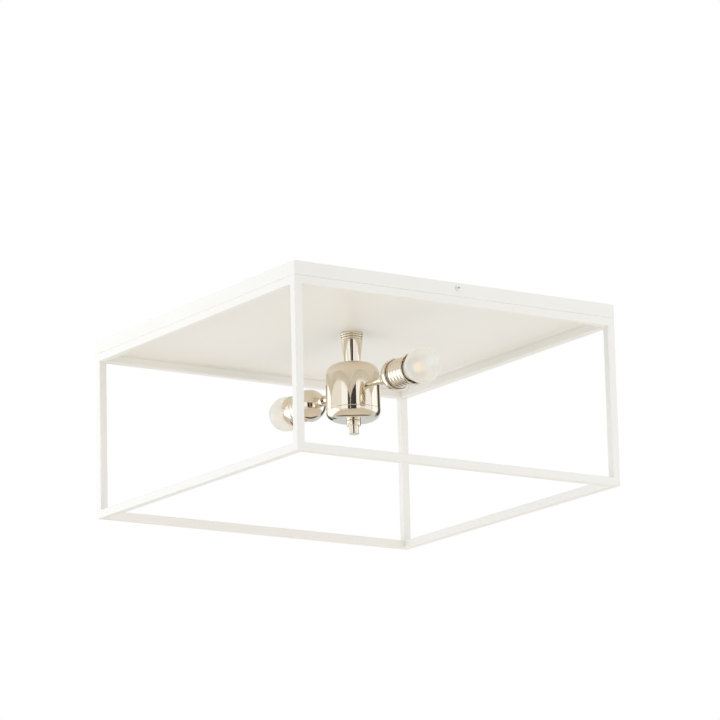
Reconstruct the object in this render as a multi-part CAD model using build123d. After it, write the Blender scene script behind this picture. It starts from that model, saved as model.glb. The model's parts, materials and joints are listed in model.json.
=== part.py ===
from build123d import *
import math
import os

# Square open-frame ceiling light with two lampholders on a turned centre column.
# Millimetres, +Z up. The origin is the middle of the ceiling plane, -Y is the front
# and -X the left side. Drops are measured down from the ceiling, and reaches along
# an arm from the column's axis. Widths of turned pieces are diameters.

# Frame of square tube
frame_width = 457.0
frame_height = 223.0
bar = 10.0
bar_wall = 1.2
bar_edge = 1.0

# Canopy pan, pressed from sheet
skirt_height = 16.5
sheet = 1.2
panel_rise = 4.1
panel_bend = 2.0
pan_edge = 0.8

# Ceiling strap, bent from strip, slotted for the two usual spacings of a ceiling box
strap_width = 30.0
strap_thickness = 2.0
strap_bend = 3.0
strap_hole = 10.5
tab_depth = 12.0
tab_gap = 0.2
tab_corner = 4.0
box_spacing_near = 70.0
box_spacing_far = 88.9
box_slot_width = 4.8

# Screws through the skirt into the strap's tabs
canopy_screw_thread = 4.0
canopy_screw_head = 6.8
canopy_screw_rise = 2.2
canopy_screw_length = 8.0
canopy_screw_drop = 6.3

# Screws through the canopy's lip into the top rails
frame_screw_thread = 3.0
frame_screw_head = 5.5
frame_screw_rise = 1.9
frame_screw_length = 6.0
frame_screw_spacing = 300.0

# Earth screw in the strap
earth_screw_thread = 4.0
earth_screw_head = 7.0
earth_screw_rise = 2.4
earth_screw_length = 1.8
earth_screw_offset = 65.0

# Head edges and cross recesses of all the screws
head_rim = 0.5
recess_width = 0.9
recess_span = 0.6
recess_depth = 0.6

# Clearances, all radial or face to face
hole_clearance = 0.2
thread_clearance = 0.1
seat_clearance = 0.1

# Centre tube with its washer and nuts
tube_width = 10.0
tube_bore = 7.0
tube_proud = 1.5
wire_slot_length = 16.0
wire_slot_width = 5.0
washer_width = 22.0
washer_thickness = 1.2
nut_flats = 14.0
nut_height = 4.0

# Stem: stacked collar rings, from the panel down, and the tapered cone
collar_widths = (27.8, 27.2, 25.8)
collar_ring = 2.9
collar_bead = 1.1
cone_top = 26.4
cone_bottom = 18.6
cone_height = 30.2
cone_edge = 0.8

# Body: bell, lower cap and finial
bell_width = 67.0
bell_height = 57.2
bell_wall = 1.5
bell_draft = 0.9
bell_shoulder = 14.0
seam_edge = 0.3
cap_height = 13.3
cap_wall = 1.5
cap_round = 12.0
register_height = 4.0
register_wall = 1.4
finial_ring = 17.4
finial_ring_height = 6.5
finial_barrel = 11.6
finial_barrel_height = 8.2
finial_tip = 12.6
finial_tip_height = 1.8
finial_edge = 0.6
finial_thread = 5.0

# Arms with their nuts and collars
arm_drop = 83.6
arm_width = 7.8
arm_bore = 5.0
arm_inner_reach = 25.5
arm_nut_flats = 12.0
arm_nut_height = 3.0
arm_nut_proud = 0.6
arm_collar_width = 12.8
arm_collar_neck = 11.4
arm_collar_ring = 4.2
arm_collar_length = 12.4
arm_collar_edge = 0.5

# Lampholders: domed back, insulating insert, screw shell, ribbed sleeve
dome_reach = 96.0
dome_width = 39.4
dome_wall = 1.2
dome_skirt = 2.0
dome_lip = 0.5
dome_lip_length = 1.6
dome_lip_edge = 0.4
insert_recess = 3.0
insert_boss = 4.0
shell_bore = 27.0
shell_wall = 0.6
shell_length = 22.0
contact_width = 7.0
contact_height = 0.8
sleeve_width = 35.2
sleeve_wall = 1.2
sleeve_plain = 4.0
rib_count = 4
rib_pitch = 6.4
rib_depth = 0.7
waist_length = 0.8
flare_width = 38.6
flare_length = 7.0
flare_wall = 0.8

# Globe bulbs with a screw base
button_gap = 0.3
button_width = 9.2
button_height = 2.0
insulator_height = 2.5
base_width = 25.8
base_wall = 0.5
base_length = 21.0
base_bead = 1.5
neck_depth = 4.0
neck_gap = 0.2
globe_width = 43.0
globe_stand = 25.4
globe_blend = 6.0
glass_wall = 0.8
stem_flange = 1.5
stem_height = 16.5
stem_width = 6.0
filament_count = 4
filament_width = 1.8
filament_length = 22.0
filament_circle = 9.0
filament_plate = 1.0
filament_rim = 0.6

# Places worked out from the sizes above
half_width = frame_width / 2
rail_line = half_width - bar / 2
top_rail_drop = skirt_height
post_drop = top_rail_drop + bar
bottom_rail_drop = frame_height - bar
lip_drop = skirt_height - sheet
panel_drop = skirt_height - panel_rise
panel_top_drop = panel_drop - sheet
tab_reach = half_width - sheet - tab_gap
collar_height = collar_ring * len(collar_widths)
cone_drop = panel_drop + collar_height
bell_drop = cone_drop + cone_height
cap_drop = bell_drop + bell_height
finial_drop = cap_drop + cap_height
tube_hole = tube_width / 2 + hole_clearance
tube_thread = tube_width / 2 + thread_clearance
arm_hole = arm_width / 2 + hole_clearance
arm_thread = arm_width / 2 + thread_clearance
dome_radius = dome_width / 2
dome_inside = dome_radius - dome_wall
dome_mouth_reach = dome_reach + dome_skirt
arm_nut_corner = arm_nut_flats / math.sqrt(3)
dome_nut_reach = dome_reach - math.sqrt(dome_inside**2 - arm_nut_corner**2) + seat_clearance
arm_outer_reach = dome_nut_reach + arm_nut_height + arm_nut_proud
insert_radius = dome_inside - hole_clearance
insert_back_reach = dome_reach - math.sqrt(dome_inside**2 - insert_radius**2) + seat_clearance
insert_front_reach = dome_mouth_reach - insert_recess
boss_reach = insert_front_reach + insert_boss
sleeve_inside = sleeve_width / 2 - rib_depth - sleeve_wall
rib_reach = insert_front_reach + sleeve_plain
flare_reach = rib_reach + rib_count * rib_pitch + waist_length
rim_reach = flare_reach + flare_length
button_reach = boss_reach + contact_height + button_gap
insulator_reach = button_reach + button_height
base_reach = insulator_reach + insulator_height
base_end_reach = base_reach + base_length
neck_reach = base_end_reach - neck_depth
neck_radius = base_width / 2 - base_wall - neck_gap
globe_reach = base_end_reach + globe_stand
stem_top_reach = neck_reach + stem_height


def outline(*points):
    """Flat face inside a closed outline of straight lines."""
    return make_face(Polyline(*points, close=True))


def rounded(face, *corners):
    """The face with corners rounded; each is (point, radius)."""
    for point, radius in corners:
        corner = face.vertices().sort_by_distance((*point, 0))[0]
        face = fillet(corner, radius)
    return face


def turned(face):
    """Turned solid about Z from a face drawn as (radius, height)."""
    return revolve(Plane.XZ * face, Axis.Z)


def ring(inner_radius, outer_radius, low, high):
    """Face of a plain turned ring between two heights."""
    return outline((inner_radius, low), (outer_radius, low), (outer_radius, high), (inner_radius, high))


def hex_nut(flats, bore_radius, height):
    """Hexagon nut standing on the XY plane."""
    hexagon = RegularPolygon(flats / 2, 6, major_radius=False)
    return extrude(hexagon - Circle(bore_radius), height)


def drill(width, clearance, wall):
    """Cutter for a round hole through a wall, set on either face of it."""
    return Cylinder(width / 2 + clearance, 4 * wall)


def domed_screw(thread, head, rise, length):
    """Cross-recessed screw along Z, seated at zero with its head upwards."""
    crown = TangentArc((0, rise), (head / 2, head_rim), tangent=(1, 0))
    side = Polyline(
        (head / 2, head_rim),
        (head / 2, 0),
        (thread / 2, 0),
        (thread / 2, -length),
        (0, -length),
        (0, rise),
    )
    screw = turned(make_face([crown.edge(), *side.edges()]))
    slot = Box(head * recess_span, recess_width, 2 * recess_depth)
    cross = Pos(0, 0, rise) * (slot + Rot(0, 0, 90) * slot)
    return screw - cross


def frame_screw_places():
    """Middle of each screw between the canopy's lip and the top rails, in plan."""
    front = [(x, -rail_line) for x in (-frame_screw_spacing / 2, frame_screw_spacing / 2)]
    return [Rot(0, 0, 90 * side) * Pos(x, y, 0) for side in range(4) for x, y in front]


def frame_screws():
    """All the screws between the canopy's lip and the top rails."""
    screw = domed_screw(frame_screw_thread, frame_screw_head, frame_screw_rise, frame_screw_length)
    return Compound([place * Pos(0, 0, -lip_drop) * screw for place in frame_screw_places()])


def side_screw_places():
    """Seats of the two screws through the skirt, heads outwards."""
    front = Plane((0, -half_width, -canopy_screw_drop), x_dir=(1, 0, 0), z_dir=(0, -1, 0))
    return [Rot(0, 0, turn) * front.location for turn in (0, 180)]


def canopy_screws():
    """The two screws through the skirt."""
    screw = domed_screw(canopy_screw_thread, canopy_screw_head, canopy_screw_rise, canopy_screw_length)
    return Compound([place * screw for place in side_screw_places()])


def square_tube(length):
    """Square tube standing on the XY plane."""
    bore = bar - 2 * bar_wall
    section = RectangleRounded(bar, bar, bar_edge) - Rectangle(bore, bore)
    return extrude(section, length)


def front_rail(drop):
    """Front rail, mitred and rounded at both corners; drop is to its upper face."""
    tube = Pos(-half_width, -rail_line, -drop - bar / 2) * Rot(0, 90, 0) * square_tube(frame_width)
    depth = -2 * frame_height
    wedge = extrude(outline((0, 0), (-frame_width, -frame_width), (frame_width, -frame_width)), depth)
    outside = (Align.MAX, Align.MAX)
    corner = Rectangle(2 * bar_edge, 2 * bar_edge, align=outside) - Circle(bar_edge)
    arris = extrude(Pos(bar_edge - half_width, bar_edge - half_width) * corner, depth)
    return (tube & wedge) - arris - mirror(arris, Plane.YZ)


def front_top_rail():
    """Top rail with the two holes for the canopy's screws in its upper wall."""
    rail = front_rail(top_rail_drop)
    hole = drill(frame_screw_thread, thread_clearance, bar_wall)
    for place in frame_screw_places()[:2]:
        rail = rail - place * Pos(0, 0, -top_rail_drop) * hole
    return rail


def corner_post():
    """Front left post between the top and bottom frames."""
    length = bottom_rail_drop - post_drop
    return Pos(-rail_line, -rail_line, -bottom_rail_drop) * square_tube(length)


def canopy_pan():
    """Pan with an upright skirt, a lip on the top rails and a raised flat panel."""
    inside = frame_width - 2 * sheet
    recess = frame_width - 2 * bar
    table = recess + 2 * sheet
    bend = min(panel_bend, panel_rise - sheet)
    block = extrude(RectangleRounded(frame_width, frame_width, bar_edge), -skirt_height)
    block = fillet(block.faces().sort_by(Axis.Z)[0].edges(), pan_edge)
    hollow = extrude(Rectangle(inside, inside), -lip_drop)
    raised = Pos(0, 0, -lip_drop) * extrude(RectangleRounded(table, table, bend + sheet), panel_rise)
    raised = fillet(raised.faces().sort_by(Axis.Z)[-1].edges(), bend + sheet / 2)
    under = Pos(0, 0, -skirt_height) * extrude(RectangleRounded(recess, recess, bend), panel_rise)
    under = fillet(under.faces().sort_by(Axis.Z)[-1].edges(), bend)
    pan = block - (hollow - raised) - under
    pan = pan - Pos(0, 0, -panel_drop) * drill(tube_width, hole_clearance, sheet)
    for place in side_screw_places():
        pan = pan - place * drill(canopy_screw_thread, hole_clearance, sheet)
    for place in frame_screw_places():
        pan = pan - place * Pos(0, 0, -lip_drop) * drill(frame_screw_thread, hole_clearance, sheet)
    return pan


def ceiling_strap():
    """Strip against the ceiling, slotted for the box screws, with tapped tabs turned down."""
    inner = tab_reach - strap_thickness
    section = outline(
        (-tab_reach, -tab_depth),
        (-tab_reach, 0),
        (tab_reach, 0),
        (tab_reach, -tab_depth),
        (inner, -tab_depth),
        (inner, -strap_thickness),
        (-inner, -strap_thickness),
        (-inner, -tab_depth),
    )
    inside_bend = strap_bend - strap_thickness
    for side in (-1, 1):
        section = rounded(
            section,
            ((side * tab_reach, 0), strap_bend),
            ((side * inner, -strap_thickness), inside_bend),
        )
    strap = extrude(Plane.YZ * section, strap_width / 2, both=True)
    strap = fillet(strap.edges().filter_by(Axis.Y).group_by(Axis.Z)[0], tab_corner)
    slot_spacing = (box_spacing_near + box_spacing_far) / 2
    slot_length = (box_spacing_far - box_spacing_near) / 2 + box_slot_width
    slot = SlotOverall(slot_length, box_slot_width, rotation=90)
    slot = extrude(slot, 2 * strap_thickness, both=True)
    for side in (-1, 1):
        strap = strap - Pos(0, side * slot_spacing / 2, 0) * slot
    strap = strap - drill(strap_hole, 0, strap_thickness)
    earth_hole = drill(earth_screw_thread, thread_clearance, strap_thickness)
    strap = strap - Pos(0, earth_screw_offset, 0) * earth_hole
    tab_hole = drill(canopy_screw_thread, thread_clearance, sheet + tab_gap + strap_thickness)
    for place in side_screw_places():
        strap = strap - place * tab_hole
    return strap


def earth_terminal():
    """Earth screw in the strap, head below."""
    screw = domed_screw(earth_screw_thread, earth_screw_head, earth_screw_rise, earth_screw_length)
    return Pos(0, earth_screw_offset, -strap_thickness) * Rot(180, 0, 0) * screw


def centre_tube():
    """Threaded tube that clamps the column together, with a slot where the wires branch."""
    top = panel_top_drop - washer_thickness - nut_height - tube_proud
    bottom = finial_drop + finial_thread
    tube = Pos(0, 0, -bottom) * extrude(Circle(tube_width / 2) - Circle(tube_bore / 2), bottom - top)
    slot = Plane.XZ * SlotOverall(wire_slot_length, wire_slot_width, rotation=90)
    return tube - Pos(0, 0, -arm_drop) * extrude(slot, tube_width, both=True)


def tube_washer():
    """Washer on the panel's upper side."""
    washer = Circle(washer_width / 2) - Circle(tube_hole)
    return Pos(0, 0, -panel_top_drop) * extrude(washer, washer_thickness)


def tube_locknut():
    """Nut on the washer, above the panel."""
    return Pos(0, 0, -panel_top_drop + washer_thickness) * hex_nut(nut_flats, tube_thread, nut_height)


def bell_nut():
    """Nut inside the bell, under its top."""
    return Pos(0, 0, -bell_drop - bell_wall - nut_height) * hex_nut(nut_flats, tube_thread, nut_height)


def stem_collar():
    """Stacked beaded rings against the panel."""
    collar = None
    for place, width in enumerate(collar_widths):
        top = -panel_drop - place * collar_ring
        low = top - collar_ring
        face = ring(tube_hole, width / 2, low, top)
        face = rounded(face, ((width / 2, top), collar_bead), ((width / 2, low), collar_bead))
        collar = turned(face) if collar is None else collar + turned(face)
    return collar


def stem_cone():
    """Tapered stem between the collar and the bell."""
    top = -cone_drop
    low = -bell_drop
    face = outline((tube_hole, top), (cone_top / 2, top), (cone_bottom / 2, low), (tube_hole, low))
    return turned(rounded(face, ((cone_top / 2, top), cone_edge)))


def body_bell():
    """Bell shell, a little wider at its seam, with a rounded shoulder and a hole for each arm."""
    radius = bell_width / 2
    inside = radius - bell_wall
    top = -bell_drop
    low = -cap_drop
    face = outline(
        (tube_hole, top),
        (radius - bell_draft, top),
        (radius, low),
        (inside, low),
        (inside - bell_draft, top - bell_wall),
        (tube_hole, top - bell_wall),
    )
    face = rounded(
        face,
        ((radius - bell_draft, top), bell_shoulder),
        ((inside - bell_draft, top - bell_wall), bell_shoulder - bell_wall),
        ((radius, low), seam_edge),
    )
    holes = Pos(0, 0, -arm_drop) * Rot(90, 0, 0) * Cylinder(arm_hole, 2 * bell_width)
    return turned(face) - holes


def lower_cap():
    """Bowl that closes the bell, with a register lip inside the bell's edge."""
    radius = bell_width / 2
    register = radius - bell_wall - hole_clearance
    inside = register - register_wall
    seam = -cap_drop
    low = -finial_drop
    round_outside = min(cap_round, cap_height - seam_edge)
    face = outline(
        (tube_hole, low),
        (radius, low),
        (radius, seam),
        (register, seam),
        (register, seam + register_height),
        (inside, seam + register_height),
        (inside, low + cap_wall),
        (tube_hole, low + cap_wall),
    )
    face = rounded(
        face,
        ((radius, low), round_outside),
        ((radius, seam), seam_edge),
        ((inside, low + cap_wall), round_outside - cap_wall),
    )
    return turned(face)


def finial():
    """Two-step knob screwed on the tube's lower end."""
    top = -finial_drop
    step = top - finial_ring_height
    tip = step - finial_barrel_height
    low = tip - finial_tip_height
    bore = top - finial_thread - seat_clearance
    face = outline(
        (0, bore),
        (tube_thread, bore),
        (tube_thread, top),
        (finial_ring / 2, top),
        (finial_ring / 2, step),
        (finial_barrel / 2, step),
        (finial_barrel / 2, tip),
        (finial_tip / 2, tip),
        (finial_tip / 2, low),
        (0, low),
    )
    face = rounded(
        face,
        ((finial_ring / 2, top), finial_edge),
        ((finial_ring / 2, step), finial_edge),
        ((finial_tip / 2, tip), finial_edge / 2),
        ((finial_tip / 2, low), finial_edge),
    )
    return turned(face)


def arm():
    """Straight arm tube, drawn along Z with its reach as height."""
    return turned(ring(arm_bore / 2, arm_width / 2, arm_inner_reach, arm_outer_reach))


def arm_nuts():
    """The arm's nut inside the bell and its nut inside the lampholder's back."""
    height_share = (cap_drop - arm_drop + arm_nut_corner) / bell_height
    bell_inside = bell_width / 2 - bell_wall - bell_draft * height_share
    seat = math.sqrt(bell_inside**2 - arm_nut_corner**2) - seat_clearance
    nut = hex_nut(arm_nut_flats, arm_thread, arm_nut_height)
    return Pos(0, 0, seat - arm_nut_height) * nut + Pos(0, 0, dome_nut_reach) * nut


def arm_collar():
    """Stepped collar on the arm, hollowed to sit on the lampholder's domed back."""
    apex = dome_reach - dome_radius
    start = apex - arm_collar_length
    step = start + arm_collar_ring
    neck_end = apex - arm_collar_ring
    end = dome_reach - math.sqrt(dome_radius**2 - (arm_collar_width / 2) ** 2)
    wide = arm_collar_width / 2
    slim = arm_collar_neck / 2
    face = outline(
        (arm_hole, start),
        (wide, start),
        (wide, step),
        (slim, step),
        (slim, neck_end),
        (wide, neck_end),
        (wide, end),
        (arm_hole, end),
    )
    edges = [((wide, height), arm_collar_edge) for height in (start, step, neck_end)]
    collar = turned(rounded(face, *edges))
    return collar - Pos(0, 0, dome_reach) * Sphere(dome_radius + seat_clearance)


def holder_dome():
    """Half-ball back of the lampholder with a short straight mouth and a lip round its edge."""
    half_ball = Pos(0, dome_reach) * (Circle(dome_radius) - Circle(dome_inside))
    apex = dome_reach - dome_width
    half_ball = half_ball & ring(arm_hole, dome_radius, apex, dome_reach)
    mouth = ring(dome_inside, dome_radius, dome_reach, dome_mouth_reach)
    lip_start = dome_mouth_reach - dome_lip_length
    lip_radius = dome_radius + dome_lip
    lip = ring(dome_inside, lip_radius, lip_start, dome_mouth_reach)
    corners = [((lip_radius, reach), dome_lip_edge) for reach in (lip_start, dome_mouth_reach)]
    return turned(half_ball + mouth + rounded(lip, *corners))


def holder_insert():
    """Insulating body held in the dome, with the boss that carries the sleeve."""
    boss_radius = sleeve_inside - hole_clearance
    face = outline(
        (0, insert_back_reach),
        (insert_radius, insert_back_reach),
        (insert_radius, insert_front_reach),
        (boss_radius, insert_front_reach),
        (boss_radius, boss_reach),
        (0, boss_reach),
    )
    return turned(face)


def screw_shell():
    """Metal sleeve that takes the bulb's screw base."""
    inside = shell_bore / 2
    return turned(ring(inside, inside + shell_wall, boss_reach, boss_reach + shell_length))


def centre_contact():
    """Contact plate in the middle of the insert."""
    return turned(ring(0, contact_width / 2, boss_reach, boss_reach + contact_height))


def holder_sleeve():
    """Sleeve with a plain band, rounded ribs, a short waist and a flared rim."""
    crest = sleeve_width / 2
    valley = crest - rib_depth
    waist = flare_reach - waist_length
    ribs = [
        ThreePointArc((valley, low), (crest, low + rib_pitch / 2), (valley, low + rib_pitch))
        for low in (rib_reach + rib_pitch * rib for rib in range(rib_count))
    ]
    flare = TangentArc((valley, flare_reach), (flare_width / 2, rim_reach), tangent=(0, 1))
    flare_inside = TangentArc(
        (sleeve_inside, flare_reach),
        (flare_width / 2 - flare_wall, rim_reach),
        tangent=(0, 1),
    )
    lines = [
        Line((sleeve_inside, insert_front_reach), (crest, insert_front_reach)),
        Line((crest, insert_front_reach), (crest, rib_reach)),
        Line((crest, rib_reach), (valley, rib_reach)),
        Line((valley, waist), (valley, flare_reach)),
        Line((flare_width / 2, rim_reach), (flare_width / 2 - flare_wall, rim_reach)),
        Line((sleeve_inside, flare_reach), (sleeve_inside, insert_front_reach)),
    ]
    return turned(make_face([piece.edge() for piece in (*lines, *ribs, flare, flare_inside)]))


def bulb_contact():
    """Contact button at the end of the bulb's base."""
    face = ring(0, button_width / 2, button_reach, insulator_reach)
    return turned(rounded(face, ((button_width / 2, button_reach), button_height / 2)))


def bulb_insulator():
    """Insulating cone between the button and the screw base."""
    base_radius = base_width / 2 - base_bead
    face = outline(
        (0, insulator_reach),
        (button_width / 2, insulator_reach),
        (base_radius, base_reach),
        (0, base_reach),
    )
    return turned(face)


def bulb_base():
    """Screw base, an open cup with a closed rounded end."""
    radius = base_width / 2
    inside = radius - base_wall
    face = outline(
        (0, base_reach),
        (radius, base_reach),
        (radius, base_end_reach),
        (inside, base_end_reach),
        (inside, base_reach + base_wall),
        (0, base_reach + base_wall),
    )
    face = rounded(
        face,
        ((radius, base_reach), base_bead),
        ((inside, base_reach + base_wall), base_bead - base_wall),
    )
    return turned(face)


def globe_face(radius, neck):
    """Half section of a globe that runs smoothly into its neck."""
    ball = Pos(0, globe_reach) * Circle(radius)
    stalk = Pos(0, (neck_reach + globe_reach) / 2) * Rectangle(2 * neck, globe_reach - neck_reach)
    section = ball + stalk
    meeting = globe_reach - math.sqrt(radius**2 - neck**2)
    section = rounded(section, ((neck, meeting), globe_blend), ((-neck, meeting), globe_blend))
    return section & ring(0, radius, neck_reach, globe_reach + radius)


def bulb_glass():
    """Frosted globe, an even glass wall open at the neck."""
    outside = globe_face(globe_width / 2, neck_radius)
    inside = globe_face(globe_width / 2 - glass_wall, neck_radius - glass_wall)
    return turned(outside - inside)


def light_stem():
    """Glass stem that closes the neck and carries the filaments."""
    flange = neck_radius - glass_wall - neck_gap
    face = outline(
        (0, neck_reach),
        (flange, neck_reach),
        (flange, neck_reach + stem_flange),
        (stem_width / 2, stem_top_reach - stem_height / 2),
        (stem_width / 2, stem_top_reach),
        (0, stem_top_reach),
    )
    return turned(face)


def light_filaments():
    """Upright filaments between two end plates."""
    plate_radius = (filament_circle + filament_width) / 2 + filament_rim
    plate = extrude(Circle(plate_radius), filament_plate)
    stick = extrude(Circle(filament_width / 2), filament_length)
    cage = plate + Pos(0, 0, filament_plate + filament_length) * plate
    for place in PolarLocations(filament_circle / 2, filament_count):
        cage = cage + Pos(0, 0, filament_plate) * place * stick
    return Pos(0, 0, stem_top_reach) * cage


# One node for each piece; pieces of the frame and the lampholders repeat by turning
nodes = {
    "ceiling_strap": ceiling_strap(),
    "earth_screw": earth_terminal(),
    "canopy_pan": canopy_pan(),
    "canopy_screws": canopy_screws(),
    "frame_screws": frame_screws(),
    "centre_tube": centre_tube(),
    "tube_washer": tube_washer(),
    "tube_locknut": tube_locknut(),
    "stem_collar": stem_collar(),
    "stem_cone": stem_cone(),
    "body_bell": body_bell(),
    "bell_nut": bell_nut(),
    "lower_cap": lower_cap(),
    "finial": finial(),
}

for turn, side in enumerate(("front", "right", "back", "left")):
    around = Rot(0, 0, 90 * turn)
    nodes[f"top_rail_{side}"] = around * front_top_rail()
    nodes[f"bottom_rail_{side}"] = around * front_rail(bottom_rail_drop)

for turn, corner in enumerate(("front_left", "front_right", "back_right", "back_left")):
    nodes[f"post_{corner}"] = Rot(0, 0, 90 * turn) * corner_post()

front_arm = Plane((0, 0, -arm_drop), x_dir=(1, 0, 0), z_dir=(0, -1, 0)).location
arm_pieces = {
    "arm": arm(),
    "arm_nuts": arm_nuts(),
    "arm_collar": arm_collar(),
    "holder_dome": holder_dome(),
    "holder_insert": holder_insert(),
    "screw_shell": screw_shell(),
    "centre_contact": centre_contact(),
    "holder_sleeve": holder_sleeve(),
    "bulb_contact": bulb_contact(),
    "bulb_insulator": bulb_insulator(),
    "bulb_base": bulb_base(),
    "bulb_glass": bulb_glass(),
    "light_stem": light_stem(),
    "light_filaments": light_filaments(),
}
for turn, side in ((0, "front"), (180, "back")):
    for name, piece in arm_pieces.items():
        nodes[f"{name}_{side}"] = Rot(0, 0, turn) * front_arm * piece

os.makedirs("parts", exist_ok=True)
for name, solid in nodes.items():
    export_step(solid, f"parts/{name}.step")
print(len(nodes), "nodes")
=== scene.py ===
import json
import math

import bpy
import numpy as np
from mathutils import Matrix, Vector


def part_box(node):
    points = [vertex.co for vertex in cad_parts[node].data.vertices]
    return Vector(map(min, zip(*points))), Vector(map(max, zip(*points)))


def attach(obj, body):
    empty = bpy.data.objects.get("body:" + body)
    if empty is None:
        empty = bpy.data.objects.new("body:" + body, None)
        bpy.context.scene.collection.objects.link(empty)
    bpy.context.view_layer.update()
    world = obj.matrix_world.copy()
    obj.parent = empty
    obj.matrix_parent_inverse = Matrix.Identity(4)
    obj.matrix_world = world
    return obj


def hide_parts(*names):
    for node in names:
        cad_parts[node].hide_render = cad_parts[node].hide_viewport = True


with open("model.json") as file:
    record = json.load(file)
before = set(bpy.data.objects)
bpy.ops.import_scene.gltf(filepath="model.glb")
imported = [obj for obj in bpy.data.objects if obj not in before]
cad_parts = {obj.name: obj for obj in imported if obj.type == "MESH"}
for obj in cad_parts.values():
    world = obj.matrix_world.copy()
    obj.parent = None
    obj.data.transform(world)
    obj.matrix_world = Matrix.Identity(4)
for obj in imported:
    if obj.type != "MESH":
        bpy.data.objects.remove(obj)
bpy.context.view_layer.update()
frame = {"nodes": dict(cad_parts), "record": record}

print("frame loaded with", len(frame["nodes"]), "nodes")

mm = 0.001
leastAngle = 1e-6  # this and the next keep a division from failing
leastLength = 1e-9
poleRadius = 1e-6  # a row this close to the axis is one point
sides = {"front": -1.0, "back": 1.0}  # each arm's direction along Y
nodeSlot = {row["node"]: row["material_slot"] for row in frame["record"]["subparts"]}


# Lowest and highest corner of a node, in millimetres
def nodeBox(node):
    return [np.array(corner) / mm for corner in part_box(node)]


outlineLook = {"inset": 0.06, "shortest": 1e-5, "leastWall": 0.5, "wallShare": 2.5}


# Drops repeated points and gives each straight wall a point close to both its ends, so that it keeps its
# own normals up to the arc beside it
def supported(line):
    inset = outlineLook["inset"]
    line = line[np.linalg.norm(line - np.roll(line, 1, axis=0), axis=1) > outlineLook["shortest"]]
    edge = np.roll(line, -1, axis=0) - line
    length = np.linalg.norm(edge, axis=1)
    near = line + edge / length[:, None] * inset
    far = line + edge - edge / length[:, None] * inset
    shorter = np.minimum(np.roll(length, 1), np.roll(length, -1))
    wall = (length > outlineLook["leastWall"]) & (length > outlineLook["wallShare"] * shorter)
    keep = np.column_stack((np.ones(len(line), bool), wall, wall))
    return np.stack((line, near, far), axis=1)[keep]


# Rounds a closed outline: a corner (across, along, radius) becomes the arc that is tangent to both its
# edges, with its ends radius / tan(half the corner's angle) away, and a corner of radius 0 stays sharp
def roundedOutline(corners, steps=12):
    data = np.array(corners, float)
    point, radius = data[:, :2], data[:, 2:]
    toLast = np.roll(point, 1, axis=0) - point
    toNext = np.roll(point, -1, axis=0) - point
    toLast /= np.linalg.norm(toLast, axis=1, keepdims=True)
    toNext /= np.linalg.norm(toNext, axis=1, keepdims=True)
    half = np.arccos(np.clip((toLast * toNext).sum(axis=1, keepdims=True), -1, 1)) / 2
    half = np.maximum(half, leastAngle)
    middle = toLast + toNext
    length = np.linalg.norm(middle, axis=1, keepdims=True)
    centre = point + middle / np.maximum(length, leastLength) * radius / np.sin(half)
    start = point + toLast * radius / np.tan(half) - centre
    end = point + toNext * radius / np.tan(half) - centre
    sweep = np.maximum(math.pi - 2 * half, leastAngle)[:, None]
    share = np.linspace(0, 1, steps)[None, :, None]
    arc = np.sin((1 - share) * sweep) * start[:, None] + np.sin(share * sweep) * end[:, None]
    return supported((centre[:, None] + arc / np.sin(sweep)).reshape(-1, 2))


# Makes a mesh object in metres from points in millimetres, smooth except across sharp edges
def meshPiece(name, points, faces, material, sharp=30):
    mesh = bpy.data.meshes.new(name)
    mesh.from_pydata((points * mm).tolist(), [], faces)
    mesh.shade_smooth()
    mesh.set_sharp_from_angle(angle=math.radians(sharp))
    mesh.materials.append(material)
    piece = bpy.data.objects.new(name, mesh)
    bpy.context.scene.collection.objects.link(piece)
    return piece


# Turns a closed outline of (radius, along) about an axis: the point at angle a is
# foot + along * axis + radius * (cos a * side + sin a * lift). A row on the axis becomes one pole.
# relief(along, angle) is added to the radius
def turnedMesh(outline, foot, axis, steps, relief):
    area = (outline[:, 0] * np.roll(outline[:, 1], -1) - np.roll(outline[:, 0], -1) * outline[:, 1]).sum()
    outline = outline if area > 0 else outline[::-1]
    side = np.array((1.0, 0.0, 0.0))
    lift = np.cross(axis, side)
    angle = np.arange(steps) * 2 * math.pi / steps
    along = outline[:, 1][:, None] + 0 * angle
    radius = outline[:, 0][:, None] + 0 * angle
    if relief is not None:
        radius = radius + relief(along, angle[None, :] + 0 * along)
    around = np.cos(angle)[:, None] * side + np.sin(angle)[:, None] * lift
    points = np.array(foot) + along[..., None] * np.array(axis) + radius[..., None] * around[None]
    pole = outline[:, 0] < poleRadius
    count = np.where(pole, 1, steps)
    base = np.cumsum(count) - count
    index = base[:, None] + np.where(pole[:, None], 0, np.arange(steps)[None])
    low, high = index, np.roll(index, -1, axis=0)
    lowNext, highNext = np.roll(low, -1, axis=1), np.roll(high, -1, axis=1)
    poleNext = np.roll(pole, -1)
    plain = ~pole & ~poleNext
    quads = np.stack((low, lowNext, highNext, high), axis=-1)[plain].reshape(-1, 4)
    starts = np.stack((low, highNext, high), axis=-1)[pole & ~poleNext].reshape(-1, 3)
    ends = np.stack((low, lowNext, high), axis=-1)[~pole & poleNext].reshape(-1, 3)
    keep = np.ones(points.shape[:2], bool)
    keep[pole, 1:] = False
    return points[keep], quads.tolist() + starts.tolist() + ends.tolist()


# A turned piece on its body, which stands for a CAD node
def turnedPiece(name, outline, place, material, body, node, steps=180, relief=None):
    points, faces = turnedMesh(outline, *place, steps, relief)
    piece = meshPiece(name, points, faces, material)
    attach(piece, body)
    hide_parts(node)
    return piece


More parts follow.
